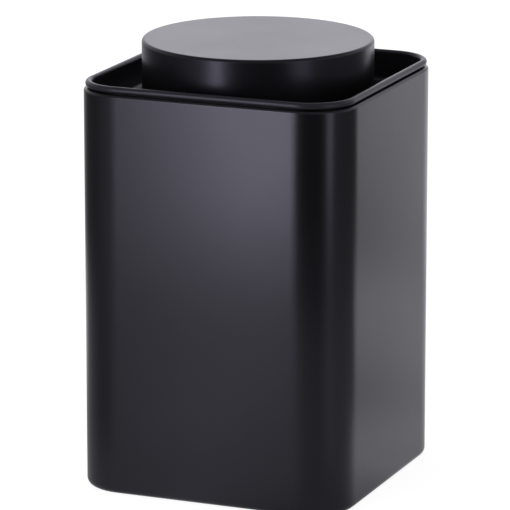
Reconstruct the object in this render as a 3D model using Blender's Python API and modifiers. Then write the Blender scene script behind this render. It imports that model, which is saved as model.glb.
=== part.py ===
"""Square tea tin with a round lid: rolled and drawn sheet metal, a moulded liner and its soft seal.

All lengths are in metres. The tin stands on the origin with +Z up and its front facing -Y.
"""

import math

import bmesh
import bpy
from mathutils import Matrix, Vector

MM = 0.001

# Body sleeve: a rolled sheet whose foot and shoulder edges are turned in
BODY_WIDTH = 100.0 * MM
BODY_HEIGHT = 142.6 * MM
CORNER_RADIUS = 16.4 * MM
BODY_SHEET = 0.6 * MM
FOOT_RADIUS = 2.4 * MM
FOOT_FLAT = 3.6 * MM
SHOULDER_RADIUS = 1.1 * MM

# Folded side seam: a flat strip inside the back wall and a fine line outside it
SEAM_WIDTH = 6.0 * MM
SEAM_THICKNESS = 1.0 * MM
SEAM_LINE_WIDTH = 0.8 * MM
SEAM_LINE_DEPTH = 0.25 * MM
SEAM_END_GAP = 1.5 * MM

# Base panel: a pressed pan with a raised middle field
BASE_SHEET = 0.5 * MM
BASE_RIM_HEIGHT = 6.0 * MM
BASE_BORDER = 10.0 * MM
BASE_STEP = 1.2 * MM

# Top tray: rolled rim bead, recess wall and floor
TRAY_SHEET = 0.5 * MM
RIM_INSET = 0.6 * MM
RIM_BEAD_RADIUS = 1.2 * MM
RECESS_DEPTH = 11.2 * MM
RECESS_FILLET = 2.0 * MM

# Neck collar: flanged under the tray's floor and curled outward at its mouth
NECK_SHEET = 0.5 * MM
NECK_HEIGHT = 16.0 * MM
NECK_CURL_RADIUS = 1.0 * MM
NECK_BEND_RADIUS = 1.0 * MM
NECK_FLANGE = 3.9 * MM

# Lid cap: a drawn cap with its lower edge hemmed inward
FINGER_GAP = 6.4 * MM
LID_EDGE_RADIUS = 1.2 * MM
LID_SHEET = 0.6 * MM
LID_FLOOR_GAP = 0.5 * MM
HEM_FOLD_GAP = 0.2 * MM
HEM_HEIGHT = 4.0 * MM

# Lid liner: a moulded plug with a groove, a seat flange and a skirt
LINER_WALL = 1.5 * MM
SKIRT_WALL = 0.8 * MM
SKIRT_RISE = 3.4 * MM
PLUG_DEPTH = 8.6 * MM
PLUG_CHAMFER = 0.5 * MM
GROOVE_DEPTH = 1.5 * MM
GROOVE_HEIGHT = 4.8 * MM

# Seal ring: a band in the plug's groove with lips that lean upward
SEAL_BAND = 1.0 * MM
SEAL_LIPS = 2
LIP_ROOT = 0.8 * MM
LIP_TIP = 0.4 * MM
LIP_LEAN = 0.6 * MM

# Clearances: between seated pieces, between lid and neck, and between plug and bore
FIT_GAP = 0.3 * MM
SLIDE_GAP = 0.4 * MM
PLUG_GAP = 1.2 * MM

# Fineness of the curved surfaces
CORNER_STEPS = 8
SIDE_STEPS = 6
ROUND_STEPS = 4 * (CORNER_STEPS + SIDE_STEPS)
FOOT_STEPS = 4
BEND_STEPS = 3
CURL_STEPS = 6
EDGE_STEPS = 4
SMOOTH_ANGLE = math.radians(40.0)
TOLERANCE = 0.001 * MM
CUTTER_MARGIN = 1.0 * MM
EMPTY_SIZE = 12.0 * MM

# Sleeve, tray and base: what fits in the sleeve follows its walls
BODY_HALF = BODY_WIDTH / 2
SLEEVE_INNER_HALF = BODY_HALF - BODY_SHEET
RIM_TOP_Z = BODY_HEIGHT + FIT_GAP + 2 * RIM_BEAD_RADIUS
TRAY_FLOOR_Z = RIM_TOP_Z - RECESS_DEPTH
RECESS_HALF = BODY_HALF - RIM_INSET - 2 * RIM_BEAD_RADIUS
RECESS_CORNER = CORNER_RADIUS - (BODY_HALF - RECESS_HALF)
SHOULDER_OPENING_HALF = RECESS_HALF + TRAY_SHEET + FIT_GAP
BASE_Z = BODY_SHEET + FIT_GAP
BASE_HALF = SLEEVE_INNER_HALF - FIT_GAP
BASE_BEND_RADIUS = FOOT_RADIUS - (BODY_HALF - BASE_HALF)

# Lid and neck, from the outside in: what slides past or sits in a piece follows that piece
LID_RADIUS = RECESS_HALF - FINGER_GAP
HEM_THICKNESS = 2 * LID_SHEET + HEM_FOLD_GAP
SKIRT_OUTER = LID_RADIUS - LID_SHEET - FIT_GAP
SKIRT_INNER = SKIRT_OUTER - SKIRT_WALL
NECK_CURL_OUTER = min(SKIRT_INNER, LID_RADIUS - HEM_THICKNESS) - SLIDE_GAP
NECK_BORE = NECK_CURL_OUTER - 2 * NECK_CURL_RADIUS
NECK_FLANGE_Z = TRAY_FLOOR_Z - TRAY_SHEET - FIT_GAP - NECK_SHEET
TRAY_HOLE = NECK_BORE + NECK_SHEET + max(FIT_GAP, NECK_BEND_RADIUS - NECK_SHEET)
PLUG_RADIUS = NECK_BORE - PLUG_GAP
GROOVE_RADIUS = PLUG_RADIUS - GROOVE_DEPTH
LIP_RADIUS = NECK_BORE - FIT_GAP

# Heights of the lid's pieces, which hang on the liner's seat over the neck's mouth
SEAT_Z = TRAY_FLOOR_Z + NECK_HEIGHT + FIT_GAP
LID_BOTTOM_Z = TRAY_FLOOR_Z + LID_FLOOR_GAP
LID_TOP_Z = SEAT_Z + LINER_WALL + SKIRT_RISE + FIT_GAP + LID_SHEET
SKIRT_BOTTOM_Z = LID_BOTTOM_Z + HEM_HEIGHT + FIT_GAP
GROOVE_BOTTOM_Z = SEAT_Z - (PLUG_DEPTH + GROOVE_HEIGHT) / 2
SEAL_HEIGHT = GROOVE_HEIGHT - 2 * FIT_GAP


def clear_scene():
    """Remove every object that the scene starts with."""
    for obj in list(bpy.data.objects):
        bpy.data.objects.remove(obj, do_unlink=True)


def make_collection(name):
    """Return a new collection linked to the scene."""
    collection = bpy.data.collections.new(name)
    bpy.context.scene.collection.children.link(collection)
    return collection


def make_material(name, colour, roughness, metallic):
    """Return a Principled material."""
    material = bpy.data.materials.new(name)
    material.use_nodes = True
    shader = material.node_tree.nodes["Principled BSDF"]
    shader.inputs["Base Color"].default_value = (*colour, 1.0)
    shader.inputs["Roughness"].default_value = roughness
    shader.inputs["Metallic"].default_value = metallic
    return material


def add_empty(name, collection, z=0.0, parent=None):
    """Add an empty that stands on the tin's axis."""
    empty = bpy.data.objects.new(name, None)
    empty.empty_display_size = EMPTY_SIZE
    empty.location = (0.0, 0.0, z)
    empty.parent = parent
    collection.objects.link(empty)
    return empty


def add_object(name, bm, collection, material=None, parent=None, z=0.0):
    """Turn a bmesh into a named object whose own zero stands at height z above its parent."""
    mesh = bpy.data.meshes.new(name)
    bm.to_mesh(mesh)
    bm.free()
    if material:
        mesh.materials.append(material)
    obj = bpy.data.objects.new(name, mesh)
    obj.location = (0.0, 0.0, z)
    obj.parent = parent
    collection.objects.link(obj)
    return obj


def add_cutter_box(name, low, high, cutters):
    """Add a box, between two corners, that only the Booleans see."""
    size = [b - a for a, b in zip(low, high)]
    middle = [(a + b) / 2 for a, b in zip(low, high)]
    bm = bmesh.new()
    bmesh.ops.create_cube(bm, size=1.0, matrix=Matrix.Translation(middle) @ Matrix.Diagonal((*size, 1.0)))
    box = add_object(name, bm, cutters)
    box.hide_render = True
    box.display_type = "WIRE"
    return box


def shade_sheet(obj):
    """Shade the bends smooth and keep the sheet's cut edges sharp."""
    obj.data.shade_smooth()
    obj.data.set_sharp_from_angle(angle=SMOOTH_ANGLE)


def add_sheet(obj, thickness):
    """Give an open surface its sheet thickness, on the side away from its normals."""
    modifier = obj.modifiers.new("sheet", "SOLIDIFY")
    modifier.thickness = thickness
    modifier.offset = -1.0
    modifier.use_even_offset = True
    modifier.use_quality_normals = True


def add_boolean(obj, other, operation):
    """Join another object to this one, or cut it out."""
    modifier = obj.modifiers.new(other.name, "BOOLEAN")
    modifier.object = other
    modifier.operation = operation
    modifier.solver = "EXACT"


def arc(centre_x, centre_z, radius, start, end, steps):
    """Return the points of an arc, its angles in degrees from the first axis towards the second."""
    points = []
    for step in range(steps + 1):
        angle = math.radians(start + (end - start) * step / steps)
        points.append((centre_x + radius * math.cos(angle), centre_z + radius * math.sin(angle)))
    return points


def rounded_box(half, radius, height):
    """Return a square box that stands on z = 0 and has rounded upright edges."""
    bm = bmesh.new()
    shape = Matrix.Translation((0.0, 0.0, height / 2)) @ Matrix.Diagonal((2 * half, 2 * half, height, 1.0))
    bmesh.ops.create_cube(bm, size=1.0, matrix=shape)
    upright = [e for e in bm.edges if abs(e.verts[0].co.z - e.verts[1].co.z) > TOLERANCE]
    bmesh.ops.bevel(bm, geom=upright, offset=radius, offset_type="OFFSET", segments=CORNER_STEPS,
                    profile=0.5, affect="EDGES")
    return bm


def level_face(bm, z):
    """Return the face that lies level at height z."""
    return next(f for f in bm.faces if all(abs(v.co.z - z) < TOLERANCE for v in f.verts))


def round_level_edge(bm, z, radius, steps):
    """Round the edge all round the level face at height z, and return that face."""
    bmesh.ops.bevel(bm, geom=list(level_face(bm, z).edges), offset=radius, offset_type="OFFSET",
                    segments=steps, profile=0.5, affect="EDGES")
    return level_face(bm, z)


def turn_in(bm, z, radius, flat, steps):
    """Turn the wall's edge at height z inward, round a bend and along a flat flange, and open the middle."""
    face = round_level_edge(bm, z, radius, steps)
    bmesh.ops.inset_region(bm, faces=[face], thickness=flat, use_even_offset=True)
    bmesh.ops.delete(bm, geom=[face], context="FACES")


def turned(name, profile, collection, material, parent, z, closed=False):
    """Turn a profile of (radius, height) points round the Z axis."""
    bm = bmesh.new()
    verts = [bm.verts.new((x, 0.0, height)) for x, height in profile]
    ends = list(zip(verts, verts[1:]))
    if closed:
        ends.append((verts[-1], verts[0]))
    for pair in ends:
        bm.edges.new(pair)
    obj = add_object(name, bm, collection, material, parent, z)
    screw = obj.modifiers.new("turn", "SCREW")
    screw.axis = "Z"
    screw.angle = 2 * math.pi
    screw.steps = ROUND_STEPS
    screw.render_steps = ROUND_STEPS
    screw.use_merge_vertices = True
    screw.merge_threshold = TOLERANCE
    screw.use_smooth_shade = True
    weld = obj.modifiers.new("close", "WELD")
    weld.merge_threshold = TOLERANCE
    return obj


def square_ring(half, radius, z):
    """Return points round a square with rounded corners, corner by corner."""
    centre = half - radius
    corner = [Vector((x, y, z)) for x, y in arc(centre, centre, radius, 0.0, 90.0, CORNER_STEPS)]
    side_end = Vector((-centre, half, z))
    side = [corner[-1].lerp(side_end, step / SIDE_STEPS) for step in range(1, SIDE_STEPS)]
    points = []
    for quarter in range(4):
        turn = Matrix.Rotation(math.radians(90.0 * quarter), 3, "Z")
        points += [turn @ point for point in corner + side]
    return points


def circle_ring(radius, z):
    """Return evenly spaced points round a circle, in step with those of square_ring."""
    points = []
    for index in range(ROUND_STEPS):
        angle = math.pi / 4 + 2 * math.pi * (index - CORNER_STEPS / 2) / ROUND_STEPS
        points.append(Vector((radius * math.cos(angle), radius * math.sin(angle), z)))
    return points


def loft(rings):
    """Join rings of equal length, each to the next, into one open surface."""
    bm = bmesh.new()
    loops = [[bm.verts.new(point) for point in ring] for ring in rings]
    for inner, outer in zip(loops, loops[1:]):
        for index in range(len(inner)):
            after = (index + 1) % len(inner)
            bm.faces.new((inner[index], outer[index], outer[after], inner[after]))
    return bm


def build_body_sleeve(parts, cutters, paint, parent):
    """Rolled sleeve with its foot and shoulder turned in and a folded seam down the back."""
    shoulder_flange = BODY_HALF - SHOULDER_OPENING_HALF
    shoulder_bend = min(SHOULDER_RADIUS, shoulder_flange - FIT_GAP)
    bm = rounded_box(BODY_HALF, CORNER_RADIUS, BODY_HEIGHT)
    turn_in(bm, 0.0, FOOT_RADIUS, FOOT_FLAT, FOOT_STEPS)
    turn_in(bm, BODY_HEIGHT, shoulder_bend, shoulder_flange - shoulder_bend, BEND_STEPS)
    sleeve = add_object("body_sleeve", bm, parts, paint, parent)
    shade_sheet(sleeve)
    add_sheet(sleeve, BODY_SHEET)

    strip_bottom = BASE_Z + BASE_RIM_HEIGHT + SEAM_END_GAP
    strip_low = (-SEAM_WIDTH / 2, SLEEVE_INNER_HALF - SEAM_THICKNESS, strip_bottom)
    strip_high = (SEAM_WIDTH / 2, SLEEVE_INNER_HALF + BODY_SHEET / 2, NECK_FLANGE_Z - SEAM_END_GAP)
    strip = add_cutter_box("seam_strip", strip_low, strip_high, cutters)
    line_low = (-SEAM_LINE_WIDTH / 2, BODY_HALF - SEAM_LINE_DEPTH, -CUTTER_MARGIN)
    line_high = (SEAM_LINE_WIDTH / 2, BODY_HALF + CUTTER_MARGIN, BODY_HEIGHT + CUTTER_MARGIN)
    line = add_cutter_box("seam_line", line_low, line_high, cutters)
    add_boolean(sleeve, strip, "UNION")
    add_boolean(sleeve, line, "DIFFERENCE")


def build_base_panel(parts, paint, parent):
    """Pressed pan that lies on the sleeve's foot flange, its middle field stepped up."""
    bm = rounded_box(BASE_HALF, CORNER_RADIUS - (BODY_HALF - BASE_HALF), BASE_RIM_HEIGHT)
    bmesh.ops.delete(bm, geom=[level_face(bm, BASE_RIM_HEIGHT)], context="FACES")
    field = round_level_edge(bm, 0.0, BASE_BEND_RADIUS, BEND_STEPS)
    bmesh.ops.inset_region(bm, faces=[field], thickness=BASE_BORDER, use_even_offset=True)
    bmesh.ops.inset_region(bm, faces=[field], thickness=BASE_STEP, use_even_offset=True)
    bmesh.ops.translate(bm, verts=field.verts, vec=(0.0, 0.0, BASE_STEP))
    panel = add_object("base_panel", bm, parts, paint, parent, BASE_Z)
    shade_sheet(panel)
    add_sheet(panel, BASE_SHEET)


def build_top_tray(parts, paint, parent):
    """Drawn tray: round hole, floor, fillet, recess wall and the bead rolled outward from it.

    The surface that faces the recess runs on over the outside of the bead. Heights count from the floor.
    """
    fillet_half = RECESS_HALF - RECESS_FILLET
    path = arc(fillet_half, RECESS_FILLET, RECESS_FILLET, -90.0, 0.0, BEND_STEPS)
    bead_half = RECESS_HALF + RIM_BEAD_RADIUS
    bead_z = RECESS_DEPTH - RIM_BEAD_RADIUS
    path += arc(bead_half, bead_z, RIM_BEAD_RADIUS, 180.0, -90.0, CURL_STEPS)
    rings = [circle_ring(TRAY_HOLE, 0.0)]
    rings += [square_ring(half, RECESS_CORNER + half - RECESS_HALF, z) for half, z in path]
    tray = add_object("top_tray", loft(rings), parts, paint, parent, TRAY_FLOOR_Z)
    shade_sheet(tray)
    add_sheet(tray, TRAY_SHEET)


def build_neck_collar(parts, paint, parent):
    """Neck that stands in the tray's hole. Its bore side runs on over the outside of the curl."""
    flange_z = NECK_FLANGE_Z - TRAY_FLOOR_Z
    bend_x = NECK_BORE + NECK_BEND_RADIUS
    profile = [(bend_x + NECK_FLANGE, flange_z)]
    profile += arc(bend_x, flange_z + NECK_BEND_RADIUS, NECK_BEND_RADIUS, -90.0, -180.0, BEND_STEPS)
    curl_x = NECK_BORE + NECK_CURL_RADIUS
    curl_z = NECK_HEIGHT - NECK_CURL_RADIUS
    profile += arc(curl_x, curl_z, NECK_CURL_RADIUS, 180.0, -90.0, CURL_STEPS)
    collar = turned("neck_collar", profile, parts, paint, parent, TRAY_FLOOR_Z)
    add_sheet(collar, NECK_SHEET)


def build_lid_cap(parts, paint, parent):
    """Drawn cap: flat top, rounded edge, wall, and a hem folded inward and up.

    Heights count from its foot.
    """
    height = LID_TOP_Z - LID_BOTTOM_Z
    edge_x = LID_RADIUS - LID_EDGE_RADIUS
    fold = HEM_THICKNESS / 2
    profile = [(0.0, height)]
    profile += arc(edge_x, height - LID_EDGE_RADIUS, LID_EDGE_RADIUS, 90.0, 0.0, EDGE_STEPS)
    profile += arc(LID_RADIUS - fold, fold, fold, 0.0, -180.0, EDGE_STEPS)
    profile += [(LID_RADIUS - HEM_THICKNESS, HEM_HEIGHT)]
    cap = turned("lid_cap", profile, parts, paint, parent, LID_BOTTOM_Z - SEAT_Z)
    add_sheet(cap, LID_SHEET)


def build_lid_liner(parts, plastic, parent):
    """Moulded liner: plug with its groove, seat flange, and a skirt between the cap's top and its hem.

    Heights count from the flange's seat. The skirt's top edge is chamfered to clear the bend inside the cap.
    """
    skirt_top = LINER_WALL + SKIRT_RISE
    skirt_chamfer = max(LID_EDGE_RADIUS - LID_SHEET, 0.0)
    groove_bottom = GROOVE_BOTTOM_Z - SEAT_Z
    pan_radius = GROOVE_RADIUS - LINER_WALL
    profile = [
        (0.0, LINER_WALL - PLUG_DEPTH),
        (pan_radius, LINER_WALL - PLUG_DEPTH),
        (pan_radius, LINER_WALL),
        (SKIRT_OUTER - LINER_WALL, LINER_WALL),
        (SKIRT_OUTER - LINER_WALL, skirt_top),
        (SKIRT_OUTER - skirt_chamfer, skirt_top),
        (SKIRT_OUTER, skirt_top - skirt_chamfer),
        (SKIRT_OUTER, SKIRT_BOTTOM_Z - SEAT_Z),
        (SKIRT_INNER, SKIRT_BOTTOM_Z - SEAT_Z),
        (SKIRT_INNER, 0.0),
        (PLUG_RADIUS, 0.0),
        (PLUG_RADIUS, groove_bottom + GROOVE_HEIGHT),
        (GROOVE_RADIUS, groove_bottom + GROOVE_HEIGHT),
        (GROOVE_RADIUS, groove_bottom),
        (PLUG_RADIUS, groove_bottom),
        (PLUG_RADIUS, PLUG_CHAMFER - PLUG_DEPTH),
        (PLUG_RADIUS - PLUG_CHAMFER, -PLUG_DEPTH),
        (0.0, -PLUG_DEPTH),
    ]
    turned("lid_liner", profile, parts, plastic, parent, 0.0)


def build_lid_seal(parts, silicone, parent):
    """Seal ring: a band with evenly spaced lips that lean up as the plug goes in.

    Heights count from its foot.
    """
    band_inner = GROOVE_RADIUS + FIT_GAP
    band_outer = band_inner + SEAL_BAND
    pitch = SEAL_HEIGHT / SEAL_LIPS
    profile = [(band_outer, SEAL_HEIGHT)]
    for lip in reversed(range(SEAL_LIPS)):
        root_z = pitch * (lip + 0.5)
        tip_z = root_z + LIP_LEAN
        profile += [
            (band_outer, root_z + LIP_ROOT / 2),
            (LIP_RADIUS, tip_z + LIP_TIP / 2),
            (LIP_RADIUS, tip_z - LIP_TIP / 2),
            (band_outer, root_z - LIP_ROOT / 2),
        ]
    profile += [(band_outer, 0.0), (band_inner, 0.0), (band_inner, SEAL_HEIGHT)]
    foot_z = GROOVE_BOTTOM_Z + FIT_GAP - SEAT_Z
    turned("lid_seal", profile, parts, silicone, parent, foot_z, closed=True)


def build_tea_tin():
    """Build every piece of the tin and its lid."""
    clear_scene()
    parts = make_collection("tea_tin")
    cutters = make_collection("cutters")
    paint = make_material("black_coat", (0.012, 0.012, 0.014), 0.42, 0.0)
    plastic = make_material("liner_plastic", (0.035, 0.035, 0.038), 0.5, 0.0)
    silicone = make_material("seal_silicone", (0.46, 0.46, 0.45), 0.55, 0.0)

    tin = add_empty("tin_foot", parts)
    build_body_sleeve(parts, cutters, paint, tin)
    build_base_panel(parts, paint, tin)
    build_top_tray(parts, paint, tin)
    build_neck_collar(parts, paint, tin)

    lid = add_empty("lid_seat", parts, SEAT_Z, tin)
    build_lid_cap(parts, paint, lid)
    build_lid_liner(parts, plastic, lid)
    build_lid_seal(parts, silicone, lid)


build_tea_tin()
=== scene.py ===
"""Black tea tin: square sheet-steel can, rolled rim, recessed top and round press-in lid."""

from __future__ import annotations

import logging
import math
from collections.abc import Callable, Iterator
from contextlib import contextmanager
from dataclasses import dataclass, field
from enum import Enum

import bmesh
import bpy
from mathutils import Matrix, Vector


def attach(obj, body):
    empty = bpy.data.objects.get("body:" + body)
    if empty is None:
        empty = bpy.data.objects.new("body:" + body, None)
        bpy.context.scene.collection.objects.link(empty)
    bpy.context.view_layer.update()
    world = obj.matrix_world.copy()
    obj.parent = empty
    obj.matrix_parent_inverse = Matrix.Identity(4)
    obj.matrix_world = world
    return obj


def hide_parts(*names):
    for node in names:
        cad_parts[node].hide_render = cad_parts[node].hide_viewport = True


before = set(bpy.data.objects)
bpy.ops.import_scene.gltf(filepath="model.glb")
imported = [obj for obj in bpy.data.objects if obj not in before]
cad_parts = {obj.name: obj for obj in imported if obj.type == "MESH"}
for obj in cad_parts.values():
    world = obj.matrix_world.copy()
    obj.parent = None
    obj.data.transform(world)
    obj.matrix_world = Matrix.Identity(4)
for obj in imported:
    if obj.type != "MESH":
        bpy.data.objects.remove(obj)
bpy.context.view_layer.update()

LOG = logging.getLogger("tea_tin")

Point = tuple[float, float]
Colour = tuple[float, float, float]
Socket = bpy.types.NodeSocket

# Lengths are in metres and angles in degrees.
MM = 0.001
NEAR = 0.00001
SAME_PLACE = NEAR / 5

# Edges that bend by more than this are sheet edges, steps of the pan, or edges of a moulding.
SHEET_EDGE = 60.0
STEP_EDGE = 25.0
MOULDED_EDGE = 20.0

# Bends of less than this are shaded smooth, and of the shading beside them large flat faces rule
# this much of 100.
SMOOTH_BELOW = 38.0
FLAT_FACE_WEIGHT = 80

# Faces round a turned piece.
ROUND_STEPS = 192

# Ranges of a value: all of it, where most of a noise pattern lies, and its middle part.
WHOLE: Point = (0.0, 1.0)
MOST: Point = (0.3, 0.7)
MIDDLE: Point = (0.35, 0.65)


class Body(Enum):
    """The two bodies that the pieces ride on."""

    TIN = "tin"
    LID = "lid"


class Slot(Enum):
    """The record's material slots."""

    COAT = "black_coat"
    PLASTIC = "liner_plastic"
    SILICONE = "seal_silicone"


class Axis(Enum):
    """Directions that a section is turned about."""

    TOWARDS_VIEWER = (0.0, -1.0, 0.0)
    UP = (0.0, 0.0, 1.0)


# Bench work


def deselect_all() -> None:
    """Leave edit mode and select nothing."""
    if bpy.context.object and bpy.context.object.mode != "OBJECT":
        bpy.ops.object.mode_set(mode="OBJECT")
    bpy.ops.object.select_all(action="DESELECT")


def make_active(obj: bpy.types.Object) -> None:
    """Select one object alone and make it the active one.

    Args:
        obj: the object.
    """
    deselect_all()
    obj.select_set(True)
    bpy.context.view_layer.objects.active = obj


@contextmanager
def editing(obj: bpy.types.Object) -> Iterator[None]:
    """Hold an object in edit mode, in vertex selection.

    Args:
        obj: the object to edit.

    Yields:
        Nothing, while the object is in edit mode.
    """
    make_active(obj)
    bpy.ops.object.mode_set(mode="EDIT")
    bpy.ops.mesh.select_mode(type="VERT")
    yield
    bpy.ops.object.mode_set(mode="OBJECT")


def pick(test: Callable[[Vector], bool]) -> None:
    """Select the edited mesh's vertices that pass a test, and the edges and faces between them.

    Args:
        test: says for a vertex's place whether it is picked.
    """
    mesh = bpy.context.edit_object.data
    form = bmesh.from_edit_mesh(mesh)
    for vertex in form.verts:
        vertex.select = test(vertex.co)
    form.select_flush_mode()
    bmesh.update_edit_mesh(mesh)


def inside_square(half: float, z: float) -> Callable[[Vector], bool]:
    """Make a test for vertices that lie inside a square or on its edge, all at one height.

    Args:
        half: half the square's width.
        z: the height.

    Returns:
        The test, for pick.
    """

    def test(place: Vector) -> bool:
        """Say whether a place is inside the square."""
        return max(abs(place.x), abs(place.y)) < half + NEAR and abs(place.z - z) < NEAR

    return test


def selected_reach() -> float:
    """Measure how far the edited mesh's selected vertices are from the tin's axis.

    Returns:
        Their mean distance.
    """
    form = bmesh.from_edit_mesh(bpy.context.edit_object.data)
    distances = [vertex.co.xy.length for vertex in form.verts if vertex.select]
    return sum(distances) / len(distances)


def turn(degrees: float, centre: tuple[float, float, float], axis: Axis, steps: int) -> None:
    """Spin the selection of the edited mesh.

    Args:
        degrees: how far, counter-clockwise as seen from the axis's tip.
        centre: a point that the axis passes through.
        axis: the direction of the axis.
        steps: how many faces the turn is made of.
    """
    bpy.ops.mesh.spin(steps=steps, angle=-math.radians(degrees), center=centre, axis=axis.value)


def pull(x: float = 0.0, y: float = 0.0, z: float = 0.0, times: int = 1) -> None:
    """Extrude the selection of the edited mesh, one or more times by the same way.

    Args:
        x: the way across.
        y: the way back.
        z: the way up.
        times: how many times.
    """
    for _ in range(times):
        bpy.ops.mesh.extrude_region_move(TRANSFORM_OT_translate={"value": (x, y, z)})


def clean() -> None:
    """Merge the edited mesh's doubles and turn its faces outwards."""
    bpy.ops.mesh.select_all(action="SELECT")
    bpy.ops.mesh.remove_doubles(threshold=SAME_PLACE)
    bpy.ops.mesh.normals_make_consistent(inside=False)


def finish_with(obj: bpy.types.Object, kind: str, **settings: object) -> None:
    """Add one modifier with its settings and apply it.

    Args:
        obj: the object that gets it.
        kind: the modifier's type.
        **settings: values of the modifier by name.
    """
    make_active(obj)
    modifier = obj.modifiers.new(kind.lower(), kind)
    for name, value in settings.items():
        setattr(modifier, name, value)
    bpy.ops.object.modifier_apply(modifier=modifier.name)


def mirror(obj: bpy.types.Object, across: int) -> None:
    """Mirror a half form at the tin's mid-plane and join the halves.

    Args:
        obj: the half form.
        across: the axis that it is mirrored across, 0 for X or 1 for Y.
    """
    finish_with(
        obj,
        "MIRROR",
        use_axis=[axis == across for axis in range(3)],
        use_clip=True,
        merge_threshold=NEAR,
    )


def give_thickness(obj: bpy.types.Object, sheet: float, cut_edge: float) -> None:
    """Turn a surface into sheet, on the side away from its normals, and break its cut edges.

    Args:
        obj: the surface.
        sheet: thickness of the sheet.
        cut_edge: width of the bevel along the sheet's cut edges.
    """
    finish_with(obj, "SOLIDIFY", thickness=sheet, offset=-1.0, use_even_offset=True)
    soften_edges(obj, cut_edge, above=SHEET_EDGE)


def soften_edges(obj: bpy.types.Object, width: float, above: float, segments: int = 2) -> None:
    """Round every edge that is sharper than an angle.

    Args:
        obj: the object.
        width: width of the rounding.
        above: least angle at which an edge counts as sharp.
        segments: faces across the rounding.
    """
    finish_with(
        obj,
        "BEVEL",
        width=width,
        segments=segments,
        limit_method="ANGLE",
        angle_limit=math.radians(above),
        harden_normals=False,
    )


def shade(obj: bpy.types.Object) -> None:
    """Shade bends smooth, keep sharp edges, and let flat faces rule the normals beside them.

    Args:
        obj: the object.
    """
    make_active(obj)
    bpy.ops.object.shade_smooth_by_angle(angle=math.radians(SMOOTH_BELOW))
    finish_with(obj, "WEIGHTED_NORMAL", keep_sharp=True, weight=FLAT_FACE_WEIGHT)


@dataclass
class SectionLine:
    """A section of a piece, drawn point by point in an upright plane, X across and Z up.

    The face that shows lies on the right of the way the line is drawn.
    """

    name: str
    start: Point
    depth: float = 0.0
    place: Point = field(init=False)

    def __post_init__(self) -> None:
        """Put down the first point as a new object in edit mode."""
        deselect_all()
        x, z = self.start
        bpy.ops.mesh.primitive_plane_add(size=MM, location=(x, self.depth, z))
        obj = bpy.context.object
        obj.name = self.name
        obj.data.name = self.name
        bpy.ops.object.mode_set(mode="EDIT")
        bpy.ops.mesh.select_mode(type="VERT")
        bpy.ops.mesh.select_all(action="SELECT")
        bpy.ops.mesh.merge(type="CENTER")
        self.place = self.start

    def to(self, x: float, z: float) -> SectionLine:
        """Draw a straight line to a point.

        Args:
            x: how far across the point is.
            z: how far up it is.

        Returns:
            The same section line.
        """
        pull(x=x - self.place[0], z=z - self.place[1])
        self.place = (x, z)
        return self

    def bend(self, radius: float, start: float, degrees: float, steps: int) -> SectionLine:
        """Draw an arc that leaves from the present point.

        Args:
            radius: radius of the arc.
            start: direction from the arc's centre to the present point, from +X towards +Z.
            degrees: how far the arc goes, counter-clockwise.
            steps: how many lines it is made of.

        Returns:
            The same section line.
        """
        first = math.radians(start)
        x = self.place[0] - radius * math.cos(first)
        z = self.place[1] - radius * math.sin(first)
        turn(degrees, (x, self.depth, z), Axis.TOWARDS_VIEWER, steps)
        last = math.radians(start + degrees)
        self.place = (x + radius * math.cos(last), z + radius * math.sin(last))
        return self

    def done(self) -> bpy.types.Object:
        """Leave edit mode and bring the object's origin to the frame's origin.

        Returns:
            The section as an object.
        """
        bpy.ops.object.mode_set(mode="OBJECT")
        bpy.ops.object.transform_apply(location=True, rotation=True, scale=True)
        return bpy.context.object


@dataclass(frozen=True)
class Easing:
    """A slow arc at either end of a corner, which eases the wall into its bend."""

    wall: float
    radius: float
    degrees: float
    steps: int = 4


@dataclass(frozen=True)
class CornerArc:
    """One arc of a corner, in plan."""

    centre: Point
    degrees: float
    steps: int


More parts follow.
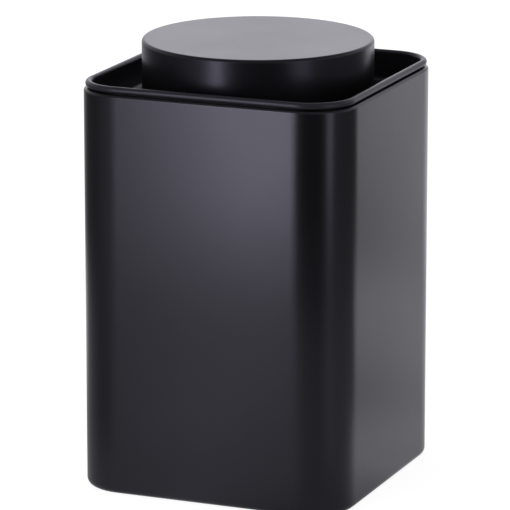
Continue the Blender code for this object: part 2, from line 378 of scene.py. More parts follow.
@dataclass(frozen=True)
class SquareSweep:
    """Carries a section round a square with rounded corners.

    The corner is how far from the tin's axis, in X as in Y, a plain corner has its centre.
    """

    corner: float
    easing: Easing | None = None
    corner_steps: int = 24
    side_steps: int = 4

    def arcs(self) -> tuple[CornerArc, ...]:
        """Lay out a corner.

        With an easing the corner starts earlier, and its main arc is tighter by as much as lets it
        pass the same point of the diagonal as the plain corner.

        Returns:
            The arcs, on from the right wall. The first one starts at its own centre's y.
        """
        if not self.easing:
            return (CornerArc((self.corner, self.corner), 90.0, self.corner_steps),)
        wall, slow = self.easing.wall, self.easing.radius
        angle = math.radians(self.easing.degrees)
        diagonal = math.sqrt(2.0)
        gap = (wall - self.corner) * (diagonal - 1.0)
        drop = diagonal * slow * (1.0 - math.cos(angle))
        radius = (gap - drop) / (diagonal * math.cos(angle) - 1.0)
        middle = wall - slow + (slow - radius) * math.cos(angle)
        end = middle - (slow - radius) * math.sin(angle)
        return (
            CornerArc((wall - slow, end), self.easing.degrees, self.easing.steps),
            CornerArc((middle, middle), 90.0 - 2.0 * self.easing.degrees, self.corner_steps),
            CornerArc((end, wall - slow), self.easing.degrees, self.easing.steps),
        )

    def start(self) -> float:
        """Return how far from its middle a wall runs straight."""
        return self.arcs()[0].centre[1]

    def carry(self, obj: bpy.types.Object, seam: tuple[Point, ...] = ()) -> None:
        """Sweep a section that stands where the right wall's straight part ends.

        Args:
            obj: the section.
            seam: places of the back wall's outline on the way to its middle, with y counted from
                the wall's face. Without them the back runs straight.
        """
        corner = self.start()
        side = corner / self.side_steps
        with editing(obj):
            bpy.ops.mesh.select_all(action="SELECT")
            for arc in self.arcs():
                turn(arc.degrees, (*arc.centre, 0.0), Axis.UP, arc.steps)
            pick(lambda place: abs(place.y - corner) < NEAR and place.x > corner)
            pull(y=-side, times=self.side_steps)
        mirror(obj, 1)
        with editing(obj):
            pick(lambda place: abs(place.x - corner) < NEAR and place.y < -corner)
            pull(x=-side, times=self.side_steps)
            pick(lambda place: abs(place.x - corner) < NEAR and place.y > corner)
            pull(x=-side, times=self.side_steps - 1)
            x, y = side, 0.0
            for next_x, next_y in (*seam, (0.0, seam[-1][1] if seam else 0.0)):
                pull(x=next_x - x, y=next_y - y)
                x, y = next_x, next_y
        mirror(obj, 0)
        with editing(obj):
            clean()


def turn_round(obj: bpy.types.Object) -> None:
    """Turn a section round the tin's axis and close it.

    Args:
        obj: the section, in the plane y = 0.
    """
    with editing(obj):
        bpy.ops.mesh.select_all(action="SELECT")
        turn(360.0, (0.0, 0.0, 0.0), Axis.UP, ROUND_STEPS)
        clean()


# Finishes


def grey(level: float) -> Colour:
    """Return the neutral colour of a level."""
    return (level, level, level)


class NodeBoard:
    """A node tree, with short calls that add nodes and join them."""

    def __init__(self, owner: bpy.types.Material | bpy.types.World) -> None:
        """Clear the tree of a material or world.

        Args:
            owner: the material or world.
        """
        owner.use_nodes = True
        self.tree = owner.node_tree
        self.tree.nodes.clear()

    def add(self, kind: str, **settings: object) -> bpy.types.Node:
        """Add a node.

        Args:
            kind: the node's type, without its ShaderNode.
            **settings: values of the node by name.

        Returns:
            The node.
        """
        node = self.tree.nodes.new("ShaderNode" + kind)
        for name, value in settings.items():
            setattr(node, name, value)
        return node

    def join(self, source: Socket, target: Socket) -> None:
        """Join an output to an input."""
        self.tree.links.new(source, target)

    def noise(self, place: Socket, size: float, detail: float) -> Socket:
        """Add a noise pattern.

        Args:
            place: the coordinates.
            size: width of its largest forms, in metres.
            detail: octaves of finer forms.

        Returns:
            Its value, around 0.5.
        """
        node = self.add("TexNoise")
        node.inputs["Scale"].default_value = 1.0 / size
        node.inputs["Detail"].default_value = detail
        self.join(place, node.inputs["Vector"])
        return node.outputs[0]

    def span(self, value: Socket, source: Point, target: Point, soft: bool = False) -> Socket:
        """Map one range of values to another.

        Args:
            value: the value.
            source: range that it comes from.
            target: range that it goes to.
            soft: whether the ends are eased.

        Returns:
            The mapped value.
        """
        node = self.add("MapRange", interpolation_type="SMOOTHSTEP" if soft else "LINEAR")
        for name, number in zip(("From Min", "From Max", "To Min", "To Max"), (*source, *target)):
            node.inputs[name].default_value = number
        self.join(value, node.inputs["Value"])
        return node.outputs["Result"]

    def reckon(self, how: str, first: Socket, second: Socket | float) -> Socket:
        """Do a sum with two values.

        Args:
            how: the operation.
            first: the first value.
            second: the second value, a socket or a number.

        Returns:
            The outcome.
        """
        node = self.add("Math", operation=how)
        self.join(first, node.inputs[0])
        if isinstance(second, float):
            node.inputs[1].default_value = second
        else:
            self.join(second, node.inputs[1])
        return node.outputs["Value"]

    def blend(self, share: Socket, low: Colour, high: Colour) -> Socket:
        """Mix two colours.

        Args:
            share: share of the second colour.
            low: the first colour.
            high: the second colour.

        Returns:
            The mixed colour.
        """
        node = self.add("Mix", data_type="RGBA")
        self.join(share, node.inputs["Factor"])
        sockets = [socket for socket in node.inputs if socket.type == "RGBA"]
        sockets[0].default_value = (*low, 1.0)
        sockets[1].default_value = (*high, 1.0)
        return next(socket for socket in node.outputs if socket.type == "RGBA")

    def steps(self, value: Socket, stops: tuple[Point, ...]) -> Socket:
        """Look a value up in a list of stops, with straight lines between them.

        Args:
            value: the value, from -0.5 to 0.5.
            stops: pairs of such a value and what it gives.

        Returns:
            What the stops give for the value.
        """
        ramp = self.add("ValToRGB")
        self.join(self.span(value, (-0.5, 0.5), WHOLE), ramp.inputs[0])
        elements = ramp.color_ramp.elements
        elements.remove(elements[1])
        ordered = sorted(stops)
        elements[0].position = ordered[0][0] + 0.5
        for position, _ in ordered[1:]:
            elements.new(position + 0.5)
        for element, (_, number) in zip(elements, ordered):
            element.color = (*grey(number), 1.0)
        return ramp.outputs["Color"]

    def between(self, share: Socket, low: Socket, high: Socket | float) -> Socket:
        """Mix two values.

        Args:
            share: share of the second value.
            low: the first value.
            high: the second value, a socket or a number.

        Returns:
            The mixed value.
        """
        node = self.add("Mix", data_type="FLOAT")
        self.join(share, node.inputs[0])
        self.join(low, node.inputs[2])
        if isinstance(high, float):
            node.inputs[3].default_value = high
        else:
            self.join(high, node.inputs[3])
        return node.outputs[0]

    def relief(self, height: Socket, depth: float, under: Socket | None = None) -> Socket:
        """Add a bump.

        Args:
            height: the pattern that stands up.
            depth: its height, in metres.
            under: normal of a coarser bump beneath it.

        Returns:
            The bumped normal.
        """
        node = self.add("Bump")
        node.inputs["Strength"].default_value = 1.0
        node.inputs["Distance"].default_value = depth
        self.join(height, node.inputs["Height"])
        if under:
            self.join(under, node.inputs["Normal"])
        return node.outputs["Normal"]

    def mix(self, share: Socket, low: Socket, high: Socket) -> Socket:
        """Mix two shaders.

        Args:
            share: share of the second shader.
            low: the first shader.
            high: the second shader.

        Returns:
            The mixed shader.
        """
        node = self.add("MixShader")
        self.join(share, node.inputs[0])
        self.join(low, node.inputs[1])
        self.join(high, node.inputs[2])
        return node.outputs[0]

    def by_ray(self, plain: Socket, mirrored: Socket, seen: Socket) -> Socket:
        """Choose one of three shaders of the room by the ray that meets it.

        Args:
            plain: for soft light on the tin.
            mirrored: for what shows in the tin's polished faces.
            seen: for the camera.

        Returns:
            The chosen shader.
        """
        rays = self.add("LightPath").outputs
        shiny = self.reckon("MAXIMUM", rays["Is Glossy Ray"], rays["Is Transmission Ray"])
        return self.mix(rays["Is Camera Ray"], self.mix(shiny, plain, mirrored), seen)

    def give(self, shader: Socket, output: str = "OutputMaterial") -> None:
        """Make a shader the tree's result."""
        self.join(shader, self.add(output).inputs["Surface"])


@dataclass(frozen=True)
class SatinCoat:
    """Satin black powder coat on steel, with a slight violet cast where it shines."""

    name: str
    black: Colour = (0.0035, 0.0035, 0.0037)
    worn_black: Colour = (0.0052, 0.0052, 0.0054)
    sheen_tint: Colour = (0.86, 0.84, 1.0)
    gloss: Point = (0.215, 0.255)
    refraction: float = 1.5
    cloud_size: float = 45.0 * MM
    cloud_detail: float = 3.0
    peel_size: float = 1.6 * MM
    peel_detail: float = 1.5
    peel_depth: float = 0.0012 * MM
    grain_size: float = 0.22 * MM
    grain_detail: float = 2.0
    grain_depth: float = 0.0010 * MM
    grain_gloss: Point = (-0.015, 0.015)
    worn_grain: Point = (0.55, 0.75)

    def make(self) -> bpy.types.Material:
        """Build the material.

        Returns:
            The material.
        """
        material = bpy.data.materials.new(self.name)
        board = NodeBoard(material)
        place = board.add("TexCoord").outputs["Object"]
        cloud = board.noise(place, self.cloud_size, self.cloud_detail)
        peel = board.noise(place, self.peel_size, self.peel_detail)
        grain = board.noise(place, self.grain_size, self.grain_detail)
        paint = board.add("BsdfPrincipled")
        paint.inputs["IOR"].default_value = self.refraction
        paint.inputs["Specular Tint"].default_value = (*self.sheen_tint, 1.0)
        worn = board.span(grain, self.worn_grain, WHOLE)
        board.join(board.blend(worn, self.black, self.worn_black), paint.inputs["Base Color"])
        rough = board.span(cloud, MOST, self.gloss)
        grit = board.span(grain, MOST, self.grain_gloss)
        board.join(board.reckon("ADD", rough, grit), paint.inputs["Roughness"])
        coarse = board.relief(peel, self.peel_depth)
        board.join(board.relief(grain, self.grain_depth, coarse), paint.inputs["Normal"])
        board.give(paint.outputs["BSDF"])
        return material


@dataclass(frozen=True)
class MouldedPlastic:
    """Black injection-moulded plastic with a fine spark-eroded grain."""

    black: Colour = (0.014, 0.014, 0.015)
    pale: Colour = (0.030, 0.030, 0.032)
    gloss: Point = (0.42, 0.56)
    cloud_size: float = 20.0 * MM
    grain_size: float = 0.35 * MM
    grain_depth: float = 0.006 * MM
    detail: float = 3.0

    def make(self) -> bpy.types.Material:
        """Build the material.

        Returns:
            The material.
        """
        material = bpy.data.materials.new("moulded_liner_plastic")
        board = NodeBoard(material)
        place = board.add("TexCoord").outputs["Object"]
        cloud = board.noise(place, self.cloud_size, self.detail)
        grain = board.noise(place, self.grain_size, self.detail)
        plastic = board.add("BsdfPrincipled")
        worn = board.span(grain, MIDDLE, WHOLE)
        board.join(board.blend(worn, self.black, self.pale), plastic.inputs["Base Color"])
        board.join(board.span(cloud, MOST, self.gloss), plastic.inputs["Roughness"])
        board.join(board.relief(grain, self.grain_depth), plastic.inputs["Normal"])
        board.give(plastic.outputs["BSDF"])
        return material


@dataclass(frozen=True)
class SoftSilicone:
    """Soft grey silicone, slightly milky, with a faint bloom."""

    grey: Colour = (0.40, 0.40, 0.39)
    bloom: Colour = (0.52, 0.52, 0.51)
    gloss: Point = (0.46, 0.62)
    softness: float = 0.12
    reach: float = 0.6 * MM
    cloud_size: float = 6.0 * MM
    cloud_detail: float = 4.0
    grain_size: float = 0.3 * MM
    grain_detail: float = 2.0
    grain_depth: float = 0.004 * MM

    def make(self) -> bpy.types.Material:
        """Build the material.

        Returns:
            The material.
        """
        material = bpy.data.materials.new("grey_seal_silicone")
        board = NodeBoard(material)
        place = board.add("TexCoord").outputs["Object"]
        cloud = board.noise(place, self.cloud_size, self.cloud_detail)
        grain = board.noise(place, self.grain_size, self.grain_detail)
        rubber = board.add("BsdfPrincipled")
        rubber.inputs["Subsurface Weight"].default_value = self.softness
        rubber.inputs["Subsurface Scale"].default_value = self.reach
        bloomed = board.span(cloud, MIDDLE, WHOLE)
        board.join(board.blend(bloomed, self.grey, self.bloom), rubber.inputs["Base Color"])
        board.join(board.span(cloud, MOST, self.gloss), rubber.inputs["Roughness"])
        board.join(board.relief(grain, self.grain_depth), rubber.inputs["Normal"])
        board.give(rubber.outputs["BSDF"])
        return material


# Sub-assemblies


def dress(
    obj: bpy.types.Object,
    finish: bpy.types.Material,
    slot: Slot,
    body: Body,
    node: str,
) -> None:
    """Give a finished piece its material, its body and the node that it stands for.

    Args:
        obj: the piece.
        finish: its material.
        slot: the record's slot that the finish belongs to; not used.
        body: the body that it rides on.
        node: the frame's node that it replaces.
    """
    obj.data.materials.clear()
    obj.data.materials.append(finish)
    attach(obj, body.value)
    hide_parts(node)
    LOG.info("%s: %d faces, rides on %s", obj.name, len(obj.data.polygons), body.value)


@dataclass
class CanBody:
    """The rolled sleeve with its folded back seam, and the pressed pan that closes its foot.

    The strip is the seam's fold on the inside. Its rounding is a share of its thickness, and that
    of the pan's step a share of the step.
    """

    coat: bpy.types.Material
    half: float = 50.0 * MM
    corner: float = 33.6 * MM
    ease_radius: float = 50.0 * MM
    ease_degrees: float = 3.3
    height: float = 142.6 * MM
    sheet: float = 0.6 * MM
    foot_radius: float = 2.4 * MM
    foot_flat: float = 3.6 * MM
    shoulder_radius: float = 1.1 * MM
    opening_half: float = 47.8 * MM
    seam_line: tuple[Point, ...] = (
        (0.9 * MM, 0.0),
        (0.62 * MM, -0.03 * MM),
        (0.40 * MM, -0.12 * MM),
        (0.26 * MM, -0.22 * MM),
    )
    seam_depth: float = 0.25 * MM
    strip_half: float = 3.0 * MM
    strip_thickness: float = 1.0 * MM
    strip_rounding: float = 0.45
    strip_steps: int = 4
    strip_bottom: float = 8.4 * MM
    strip_top: float = 131.3 * MM
    pan_bottom: float = 0.9 * MM
    pan_half: float = 49.1 * MM
    pan_rim: float = 6.0 * MM
    pan_bend: float = 1.5 * MM
    pan_border: float = 10.0 * MM
    pan_step: float = 1.2 * MM
    step_rounding: float = 0.4
    step_steps: int = 3
    pan_sheet: float = 0.5 * MM
    cut_edge: float = 0.1 * MM
    bend_steps: int = 8
    pan_bend_steps: int = 6

    def build(self) -> None:
        """Build and dress both pieces."""
        dress(self.make_sleeve(), self.coat, Slot.COAT, Body.TIN, "body_sleeve")
        dress(self.make_pan(), self.coat, Slot.COAT, Body.TIN, "base_panel")

    def make_sleeve(self) -> bpy.types.Object:
        """Sweep the sleeve's section round the square and add the fold inside its seam.

        Returns:
            The sleeve.
        """
        foot = self.half - self.foot_radius
        sweep = SquareSweep(self.corner, Easing(self.half, self.ease_radius, self.ease_degrees))
        line = SectionLine("sleeve_shell", (foot - self.foot_flat, 0.0), sweep.start())
        line.to(foot, 0.0).bend(self.foot_radius, -90.0, 90.0, self.bend_steps)
        line.to(self.half, self.height - self.shoulder_radius)
        line.bend(self.shoulder_radius, 0.0, 90.0, self.bend_steps)
        sleeve = line.to(self.opening_half, self.height).done()
        sweep.carry(sleeve, (*self.seam_line, (0.0, -self.seam_depth)))
        give_thickness(sleeve, self.sheet, self.cut_edge)
        self.add_seam_fold(sleeve)
        shade(sleeve)
        return sleeve

    def add_seam_fold(self, sleeve: bpy.types.Object) -> None:
        """Join the flattened fold of the seam to the inside of the back wall.

        Args:
            sleeve: the sleeve.
        """
        face = self.half - self.sheet
        inner = face - self.strip_thickness
        outer = face + self.sheet / 2
        deselect_all()
        bpy.ops.mesh.primitive_cube_add(
            size=1.0,
            location=(0.0, (inner + outer) / 2, (self.strip_bottom + self.strip_top) / 2),
            scale=(2 * self.strip_half, outer - inner, self.strip_top - self.strip_bottom),
        )
        fold = bpy.context.object
        fold.name = "seam_fold"
        bpy.ops.object.transform_apply(location=True, rotation=True, scale=True)
        with editing(fold):
            pick(lambda place: place.y < inner + NEAR)
            rounding = self.strip_thickness * self.strip_rounding
            bpy.ops.mesh.bevel(offset=rounding, segments=self.strip_steps, affect="EDGES")
        finish_with(sleeve, "BOOLEAN", object=fold, operation="UNION", solver="EXACT")
        bpy.data.objects.remove(fold)

    def make_pan(self) -> bpy.types.Object:
        """Sweep the pan's section round the square and close its middle field.

        Returns:
            The pan.
        """
        border = self.pan_half - self.pan_bend - self.pan_border
        field_half = border - self.pan_step
        field_z = self.pan_bottom + self.pan_step
        line = SectionLine("base_pan", (field_half, field_z), self.corner)
        line.to(border, self.pan_bottom).to(self.pan_half - self.pan_bend, self.pan_bottom)
        line.bend(self.pan_bend, -90.0, 90.0, self.pan_bend_steps)
        pan = line.to(self.pan_half, self.pan_bottom + self.pan_rim).done()
        SquareSweep(self.corner).carry(pan)
        with editing(pan):
            pick(inside_square(field_half, field_z))
            pull()
            bpy.ops.mesh.merge(type="CENTER")
            clean()
        rounding = self.pan_step * self.step_rounding
        soften_edges(pan, rounding, above=STEP_EDGE, segments=self.step_steps)
        give_thickness(pan, self.pan_sheet, self.cut_edge)
        shade(pan)
        return pan


@dataclass
class RecessedTop:
    """The drawn tray with its rolled rim, and the neck that stands in the tray's hole."""

    coat: bpy.types.Material
    corner: float = 33.6 * MM
    recess_half: float = 47.0 * MM
    floor_z: float = 134.1 * MM
    rim_z: float = 145.3 * MM
    bead_radius: float = 1.2 * MM
    bead_wrap: float = 292.0
    bead_steps: int = 24
    fillet: float = 2.0 * MM
    fillet_steps: int = 8
    hole: float = 37.5 * MM
    sheet: float = 0.5 * MM
    side_steps: int = 12
    neck_bore: float = 36.5 * MM
    neck_bend: float = 1.0 * MM
    neck_bend_steps: int = 6
    neck_flange: float = 3.9 * MM
    neck_flange_z: float = 132.8 * MM
    neck_top: float = 150.1 * MM
    neck_curl: float = 1.0 * MM
    curl_steps: int = 20
    cut_edge: float = 0.1 * MM

    def build(self) -> None:
        """Build and dress both pieces."""
        dress(self.make_tray(), self.coat, Slot.COAT, Body.TIN, "top_tray")
        dress(self.make_neck(), self.coat, Slot.COAT, Body.TIN, "neck_collar")

    def make_tray(self) -> bpy.types.Object:
        """Sweep rim, wall and fillet round the square and join them to the round hole.

        Returns:
            The tray.
        """
        rolled_from = 180.0 - self.bead_wrap
        first = math.radians(rolled_from)
        start_x = self.recess_half + self.bead_radius + self.bead_radius * math.cos(first)
        start_z = self.rim_z - self.bead_radius + self.bead_radius * math.sin(first)
        line = SectionLine("tray_pressing", (start_x, start_z), self.corner)
        line.bend(self.bead_radius, rolled_from, self.bead_wrap, self.bead_steps)
        line.to(self.recess_half, self.floor_z + self.fillet)
        tray = line.bend(self.fillet, 0.0, -90.0, self.fillet_steps).done()
        SquareSweep(self.corner, side_steps=self.side_steps).carry(tray)
        middle = (0.0, 0.0, self.floor_z)
        with editing(tray):
            pick(inside_square(self.recess_half - self.fillet, self.floor_z))
            pull()
            bpy.ops.transform.tosphere(value=1.0)
            share = self.hole / selected_reach()
            bpy.ops.transform.resize(value=(share, share, 1.0), center_override=middle)
            clean()
        give_thickness(tray, self.sheet, self.cut_edge)
        shade(tray)
        return tray

    def make_neck(self) -> bpy.types.Object:
        """Turn the neck: curl at the mouth, bore, bend and flange.

        Returns:
            The neck.
        """
        curl = self.neck_curl
        line = SectionLine("neck_ring", (self.neck_bore + curl, self.neck_top - 2 * curl))
        line.bend(curl, -90.0, 270.0, self.curl_steps)
        line.to(self.neck_bore, self.neck_flange_z + self.neck_bend)
        line.bend(self.neck_bend, 180.0, 90.0, self.neck_bend_steps)
        flange_edge = self.neck_bore + self.neck_bend + self.neck_flange
        neck = line.to(flange_edge, self.neck_flange_z).done()
        turn_round(neck)
        give_thickness(neck, self.sheet, self.cut_edge)
        shade(neck)
        return neck


@dataclass
class PressLid:
    """The drawn cap with its hem, the moulded liner inside it, and the seal in its groove.

    The gate mark is a shallow dish with the gate's stub in its middle. The dish's slope and the
    stub's radius and slope are shares of the gate's radius, and the stub's depth is a share of the
    gate's depth. The moulded edge is so many times a cut edge.
    """

    coat: bpy.types.Material
    plastic: bpy.types.Material
    silicone: bpy.types.Material
    radius: float = 40.6 * MM
    top: float = 156.2 * MM
    bottom: float = 134.6 * MM
    edge: float = 1.2 * MM
    sheet: float = 0.6 * MM
    hem: float = 1.4 * MM
    hem_height: float = 4.0 * MM
    bend_steps: int = 12
    seat: float = 150.4 * MM
    wall: float = 1.5 * MM
    plug_depth: float = 8.6 * MM
    plug_radius: float = 35.3 * MM
    plug_chamfer: float = 0.5 * MM
    groove_radius: float = 33.8 * MM
    groove_bottom: float = 143.7 * MM
    groove_height: float = 4.8 * MM
    skirt_outer: float = 39.7 * MM
    skirt_inner: float = 38.9 * MM
    skirt_top: float = 155.3 * MM
    skirt_bottom: float = 138.9 * MM
    gate_radius: float = 3.0 * MM
    gate_depth: float = 0.5 * MM
    gate_slope: float = 1.2
    stub_radius: float = 0.3
    stub_slope: float = 0.34
    stub_depth: float = 0.3
    band_inner: float = 34.1 * MM
    band_outer: float = 35.1 * MM
    band_bottom: float = 144.0 * MM
    band_height: float = 4.2 * MM
    lips: int = 2
    lip_radius: float = 36.2 * MM
    lip_root: float = 0.8 * MM
    lip_tip: float = 0.4 * MM
    lip_lean: float = 0.6 * MM
    cut_edge: float = 0.1 * MM
    moulded_edge: float = 1.5

    def build(self) -> None:
        """Build and dress the three pieces."""
        dress(self.make_cap(), self.coat, Slot.COAT, Body.LID, "lid_cap")
        dress(self.make_liner(), self.plastic, Slot.PLASTIC, Body.LID, "lid_liner")
        dress(self.make_seal(), self.silicone, Slot.SILICONE, Body.LID, "lid_seal")

    def make_cap(self) -> bpy.types.Object:
        """Turn the cap: hem, wall, rounded edge and flat top.

        Returns:
            The cap.
        """
        line = SectionLine("lid_shell", (self.radius - self.hem, self.bottom + self.hem_height))
        line.to(self.radius - self.hem, self.bottom + self.hem / 2)
        line.bend(self.hem / 2, 180.0, 180.0, self.bend_steps)
        line.to(self.radius, self.top - self.edge)
        cap = line.bend(self.edge, 0.0, 90.0, self.bend_steps).to(0.0, self.top).done()
        turn_round(cap)
        give_thickness(cap, self.sheet, self.cut_edge)
        shade(cap)
        return cap

    def make_liner(self) -> bpy.types.Object:
        """Turn the liner: plug with its gate mark and groove, seat, skirt and the pan above.

        Returns:
            The liner.
        """
        foot = self.seat - self.plug_depth
        pan_x = self.groove_radius - self.wall
        shelf = self.seat + self.wall
        slope = self.edge - self.sheet
        stub_foot = foot + self.gate_depth * self.stub_depth
        line = SectionLine("liner_moulding", (0.0, stub_foot))
        for x, z in (
            (self.gate_radius * self.stub_radius, stub_foot),
            (self.gate_radius * self.stub_slope, foot + self.gate_depth),
            (self.gate_radius, foot + self.gate_depth),
            (self.gate_radius * self.gate_slope, foot),
            (self.plug_radius - self.plug_chamfer, foot),
            (self.plug_radius, foot + self.plug_chamfer),
            (self.plug_radius, self.groove_bottom),
            (self.groove_radius, self.groove_bottom),
            (self.groove_radius, self.groove_bottom + self.groove_height),
            (self.plug_radius, self.groove_bottom + self.groove_height),
            (self.plug_radius, self.seat),
            (self.skirt_inner, self.seat),
            (self.skirt_inner, self.skirt_bottom),
            (self.skirt_outer, self.skirt_bottom),
            (self.skirt_outer, self.skirt_top - slope),
            (self.skirt_outer - slope, self.skirt_top),
            (self.skirt_outer - self.wall, self.skirt_top),
            (self.skirt_outer - self.wall, shelf),
            (pan_x, shelf),
            (pan_x, foot + self.wall),
            (0.0, foot + self.wall),
        ):
            line.to(x, z)
        liner = line.done()
        turn_round(liner)
        soften_edges(liner, self.cut_edge * self.moulded_edge, above=MOULDED_EDGE)
        shade(liner)
        return liner

    def make_seal(self) -> bpy.types.Object:
        """Turn the seal: a band with two lips that lean up.

        Returns:
            The seal.
        """
        pitch = self.band_height / self.lips
        band_top = self.band_bottom + self.band_height
        line = SectionLine("seal_ring", (self.band_inner, band_top))
        line.to(self.band_inner, self.band_bottom).to(self.band_outer, self.band_bottom)
        for lip in range(self.lips):
            root = self.band_bottom + pitch * (lip + 0.5)
            tip = root + self.lip_lean
            line.to(self.band_outer, root - self.lip_root / 2)
            line.to(self.lip_radius, tip - self.lip_tip / 2)
            line.to(self.lip_radius, tip + self.lip_tip / 2)
            line.to(self.band_outer, root + self.lip_root / 2)
        seal = line.to(self.band_outer, band_top).to(self.band_inner, band_top).done()
        turn_round(seal)
        soften_edges(seal, self.cut_edge, above=MOULDED_EDGE)
        shade(seal)
        return seal


# Studio


@dataclass(frozen=True)
class LightRing:
    """Brightness of the room round the tin, as its polished faces see it, by direction.

    Directions are in degrees from the front, -Y, towards the right, +X.
    """

    stops: tuple[Point, ...]

    def read(self, board: NodeBoard, place: Socket) -> Socket:
        """Add nodes that give the ring's brightness at a place.

        Args:
            board: the node tree.
            place: a place on the floor, or a direction.

        Returns:
            The brightness.
        """
        parts = board.add("SeparateXYZ")
        board.join(place, parts.inputs[0])
        front = board.reckon("MULTIPLY", parts.outputs["Y"], -1.0)
        angle = board.reckon("ARCTAN2", parts.outputs["X"], front)
        turns = board.reckon("DIVIDE", angle, 2.0 * math.pi)
        return board.steps(turns, tuple((degrees / 360.0, glow) for degrees, glow in self.stops))


NEAR_FLOOR = LightRing(
    (
        (-180.0, 0.93), (-165.0, 0.86), (-150.0, 0.78), (-135.0, 0.69), (-120.0, 0.56),
        (-100.0, 0.43), (-80.0, 0.40), (-50.0, 0.45), (-25.0, 0.60), (-8.0, 0.70),
        (10.0, 0.57), (30.0, 0.38), (60.0, 0.38), (90.0, 0.55), (108.0, 0.71),
        (122.0, 0.73), (136.0, 0.81), (150.0, 0.90), (165.0, 0.93), (180.0, 0.92),
    )
)
MIDDLE_FLOOR = LightRing(
    (
        (-180.0, 0.98), (-165.0, 1.08), (-150.0, 1.15), (-135.0, 1.15), (-120.0, 1.02),
        (-100.0, 0.46), (-75.0, 0.35), (-50.0, 0.28), (-34.0, 0.37), (-22.0, 0.77),
        (-14.0, 0.94), (-4.0, 0.63), (15.0, 0.43), (40.0, 0.38), (60.0, 0.57),
        (80.0, 0.44), (105.0, 0.36), (122.0, 0.28), (132.0, 0.35), (140.0, 0.58),
        (149.0, 0.84), (156.0, 0.98), (165.0, 0.98), (180.0, 0.94),
    )
)
FAR_FLOOR = LightRing(
    (
        (-180.0, 1.0), (-165.0, 0.90), (-150.0, 0.80), (-135.0, 0.62), (-120.0, 0.34),
        (-105.0, 0.13), (-80.0, 0.12), (-60.0, 0.20), (-45.0, 0.36), (-34.0, 0.42),
        (-8.0, 0.12), (4.0, 0.03), (40.0, 0.02), (55.0, 0.18), (80.0, 0.28),
        (100.0, 0.20), (128.0, 0.14), (144.0, 0.10), (150.0, 0.14), (154.5, 0.86),
        (160.0, 1.28), (167.0, 1.34), (180.0, 1.0),
    )
)
LOW_SKY = LightRing(
    (
        (-180.0, 0.95), (-168.0, 1.43), (-156.0, 1.56), (-144.0, 1.05), (-128.0, 0.72),
        (-105.0, 0.62), (-80.0, 0.54), (-50.0, 0.34), (-25.0, 0.20), (30.0, 0.20),
        (45.0, 0.28), (85.0, 0.46), (105.0, 0.60), (140.0, 0.66), (160.0, 0.72),
        (180.0, 0.95),
    )
)


@dataclass(frozen=True)
class LightCard:
    """A lit card on the floor that the camera doesn't see, brighter or dimmer across its width.

    Its glow is given for places across it, from -0.5 at one edge to 0.5 at the other. At its foot
    it has only a share of that, and from a certain height upwards all of it.
    """

    name: str
    azimuth: float
    away: float
    width: float
    height: float
    glow: tuple[Point, ...]
    foot_share: float = 1.0
    full_from: float = 0.1

    def stand_up(self, cast: Colour) -> None:
        """Stand the card on the floor, facing the tin.

        Args:
            cast: colour of its light.
        """
        turned = math.radians(self.azimuth)
        middle = (self.away * math.sin(turned), -self.away * math.cos(turned), self.height / 2)
        deselect_all()
        bpy.ops.mesh.primitive_plane_add(size=1.0, location=middle)
        card = bpy.context.object
        card.name = self.name
        card.rotation_euler = (math.radians(90.0), 0.0, turned)
        card.scale = (self.width, self.height, 1.0)
        material = bpy.data.materials.new(self.name)
        board = NodeBoard(material)
        across = board.add("SeparateXYZ")
        board.join(board.add("TexCoord").outputs["Object"], across.inputs[0])
        light = board.add("Emission")
        light.inputs["Color"].default_value = (*cast, 1.0)
        full_at = self.full_from / self.height - 0.5
        rise = board.span(across.outputs["Y"], (-0.5, full_at), (self.foot_share, 1.0))
        glow = board.steps(across.outputs["X"], self.glow)
        board.join(board.reckon("MULTIPLY", glow, rise), light.inputs["Strength"])
        board.give(light.outputs[0])
        card.data.materials.append(material)
        card.visible_camera = False
        card.visible_shadow = False


FRONT_CARD = LightCard(
    name="front_softbox",
    azimuth=-19.0,
    away=0.40,
    width=0.20,
    height=0.30,
    glow=(
        (-0.50, 0.0), (-0.22, 1.2), (-0.14, 2.3), (-0.04, 3.7), (0.06, 5.5),
        (0.11, 7.6), (0.16, 12.1), (0.191, 14.0), (0.206, 0.0),
    ),
    foot_share=0.60,
    full_from=0.09,
)
SIDE_CARD = LightCard(
    name="side_strip",
    azimuth=64.0,
    away=0.55,
    width=0.24,
    height=0.40,
    glow=((-0.50, 0.0), (-0.32, 1.0), (-0.15, 1.85), (0.15, 1.75), (0.30, 0.8), (0.50, 0.0)),
)


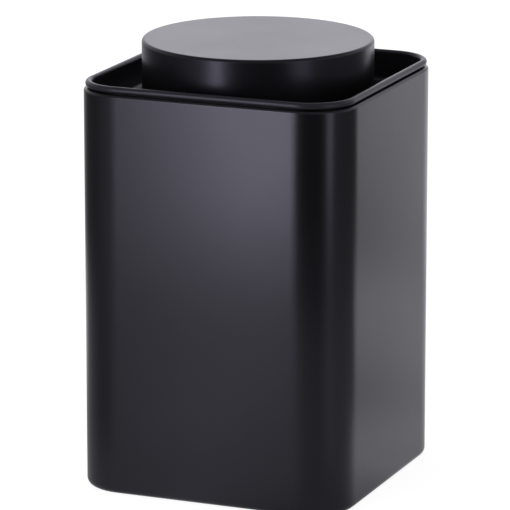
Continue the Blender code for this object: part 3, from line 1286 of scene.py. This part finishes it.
@dataclass
class Studio:
    """Pale floor, soft lights and the camera that looks on the tin as in the photograph.

    The reaches are the distances from the tin's axis over which the floor passes from one ring to
    the next. The sky passes to its top over a range of its directions' upward share.
    """

    floor_size: float = 12.0
    near_reach: Point = (0.085, 0.165)
    middle_reach: Point = (0.27, 0.42)
    sky_fade: Point = (0.35, 0.70)
    sky_top: float = 0.30
    cast: Colour = (0.983, 0.967, 1.037)
    room_light: float = 0.8
    floor_grey: float = 0.8
    seen_floor: float = 0.87
    seen_floor_grey: float = 0.3
    azimuth: float = 22.429
    elevation: float = 14.065
    distance: float = 1.5058
    target_z: float = 0.07799
    sideways: float = -0.00108
    lens: float = 300.97
    sensor: float = 36.0
    clip: Point = (0.05, 100.0)

    def build(self) -> None:
        """Set up everything that isn't the tin."""
        self.add_floor()
        self.add_world()
        FRONT_CARD.stand_up(self.cast)
        SIDE_CARD.stand_up(self.cast)
        self.add_camera()
        bpy.context.scene.view_settings.view_transform = "Standard"

    def add_floor(self) -> None:
        """Lay a large pale floor, white to the camera and with rings of light in reflections."""
        deselect_all()
        bpy.ops.mesh.primitive_plane_add(size=self.floor_size, location=(0.0, 0.0, 0.0))
        floor = bpy.context.object
        floor.name = "studio_floor"
        material = bpy.data.materials.new("pale_floor")
        board = NodeBoard(material)
        matt = board.add("BsdfDiffuse")
        matt.inputs["Color"].default_value = (*grey(self.floor_grey), 1.0)
        seen_matt = board.add("BsdfDiffuse")
        seen_matt.inputs["Color"].default_value = (*grey(self.seen_floor_grey), 1.0)
        seen_glow = board.add("Emission")
        seen_glow.inputs["Strength"].default_value = self.seen_floor
        seen = board.add("AddShader")
        board.join(seen_matt.outputs[0], seen.inputs[0])
        board.join(seen_glow.outputs[0], seen.inputs[1])
        mirrored = board.add("Emission")
        mirrored.inputs["Color"].default_value = (*self.cast, 1.0)
        board.join(self.floor_glow(board), mirrored.inputs["Strength"])
        board.give(board.by_ray(matt.outputs[0], mirrored.outputs[0], seen.outputs[0]))
        floor.data.materials.append(material)

    def floor_glow(self, board: NodeBoard) -> Socket:
        """Add nodes that give the floor's brightness in reflections, ring inside ring.

        Args:
            board: the floor's node tree.

        Returns:
            The brightness.
        """
        place = board.add("TexCoord").outputs["Object"]
        away = board.add("VectorMath", operation="LENGTH")
        board.join(place, away.inputs[0])
        glow = NEAR_FLOOR.read(board, place)
        for reach, ring in ((self.near_reach, MIDDLE_FLOOR), (self.middle_reach, FAR_FLOOR)):
            beyond = board.span(away.outputs["Value"], reach, WHOLE, soft=True)
            glow = board.between(beyond, glow, ring.read(board, place))
        return glow

    def add_world(self) -> None:
        """Light the room softly, white to the camera and with a ring of light in reflections."""
        world = bpy.data.worlds.new("soft_room")
        bpy.context.scene.world = world
        board = NodeBoard(world)
        way = board.add("TexCoord").outputs["Generated"]
        parts = board.add("SeparateXYZ")
        board.join(way, parts.inputs[0])
        high = board.span(parts.outputs["Z"], self.sky_fade, WHOLE, soft=True)
        plain = board.add("Background")
        plain.inputs["Strength"].default_value = self.room_light
        mirrored = board.add("Background")
        mirrored.inputs["Color"].default_value = (*self.cast, 1.0)
        reflected = board.between(high, LOW_SKY.read(board, way), self.sky_top)
        board.join(reflected, mirrored.inputs["Strength"])
        seen = board.add("Background")
        seen.inputs["Color"].default_value = (*grey(1.0), 1.0)
        shader = board.by_ray(plain.outputs[0], mirrored.outputs[0], seen.outputs[0])
        board.give(shader, "OutputWorld")

    def add_camera(self) -> None:
        """Set the camera at the photograph's angle and distance."""
        turned = math.radians(self.azimuth)
        raised = math.radians(self.elevation)
        level = math.cos(raised)
        back = Vector((math.sin(turned) * level, -math.cos(turned) * level, math.sin(raised)))
        right = Vector((math.cos(turned), math.sin(turned), 0.0))
        target = Vector((0.0, 0.0, self.target_z)) + right * self.sideways
        data = bpy.data.cameras.new("photo_camera")
        data.lens = self.lens
        data.sensor_width = self.sensor
        data.clip_start, data.clip_end = self.clip
        camera = bpy.data.objects.new("photo_camera", data)
        camera.location = target + back * self.distance
        camera.rotation_euler = (-back).to_track_quat("-Z", "Y").to_euler()
        bpy.context.scene.collection.objects.link(camera)
        bpy.context.scene.camera = camera


def main() -> None:
    """Build the tin and the studio round it."""
    logging.basicConfig(level=logging.INFO, format="%(message)s")
    coat = SatinCoat("satin_black_coat").make()
    lid_coat = SatinCoat(
        "satin_black_lid_coat",
        sheen_tint=(0.80, 0.775, 1.0),
        gloss=(0.275, 0.315),
        refraction=1.45,
    ).make()
    # The tray and neck get a lighter, bluer black than the body's coat, though the coat is the
    # same: painted fill light that brightens the shaded recess.
    top_coat_painted_fill = SatinCoat(
        "satin_black_top_coat",
        black=(0.0085, 0.0083, 0.0105),
        worn_black=(0.0105, 0.0103, 0.0125),
        gloss=(0.32, 0.36),
    ).make()
    CanBody(coat).build()
    RecessedTop(top_coat_painted_fill).build()
    PressLid(lid_coat, MouldedPlastic().make(), SoftSilicone().make()).build()
    Studio().build()


if __name__ == "__main__":
    main()
